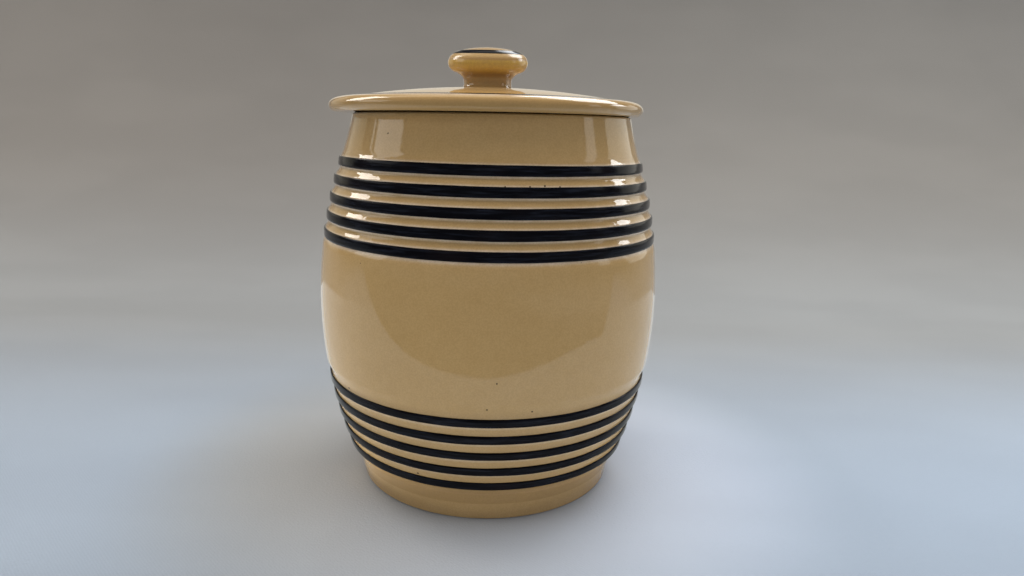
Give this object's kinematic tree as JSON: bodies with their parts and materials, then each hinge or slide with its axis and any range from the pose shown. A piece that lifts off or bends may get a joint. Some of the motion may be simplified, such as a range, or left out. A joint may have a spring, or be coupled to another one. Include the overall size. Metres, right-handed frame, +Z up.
{
  "type": "biscuit jar",
  "caption": "Barrel-shaped glazed earthenware biscuit jar with raised dark slip bands and a loose domed lid with a knob, for storing biscuits on a shelf or table.",
  "frame": {"origin": "centre of the foot, on the plane that the jar stands on; the jar's own axis is +Z through it", "axes": "+Z up along the jar's axis, -Y is the side that the picture sees, +X is the picture's right"},
  "size_m": [0.1552, 0.1552, 0.1959],
  "materials": {
    "cream_glaze": "glossy pale yellow-cream glaze over earthenware, slightly uneven, deeper where it pools",
    "dark_slip": "glossy blue-black slip under clear glaze"
  },
  "bodies": {
    "jar": {"jar_body": "cream_glaze", "upper_band_1": "dark_slip", "upper_band_2": "dark_slip", "upper_band_3": "dark_slip", "upper_band_4": "dark_slip", "upper_band_5": "dark_slip", "lower_band_1": "dark_slip", "lower_band_2": "dark_slip", "lower_band_3": "dark_slip", "lower_band_4": "dark_slip", "lower_band_5": "dark_slip"},
    "lid": {"lid": "cream_glaze", "lid_band": "dark_slip", "knob": "cream_glaze", "knob_band": "dark_slip"}
  },
  "joints": [
    {"name": "lid_lift", "type": "slide", "parent": "jar", "child": "lid", "axis": [0, 0, 1], "range_m": [0, 0.15]}
  ]
}
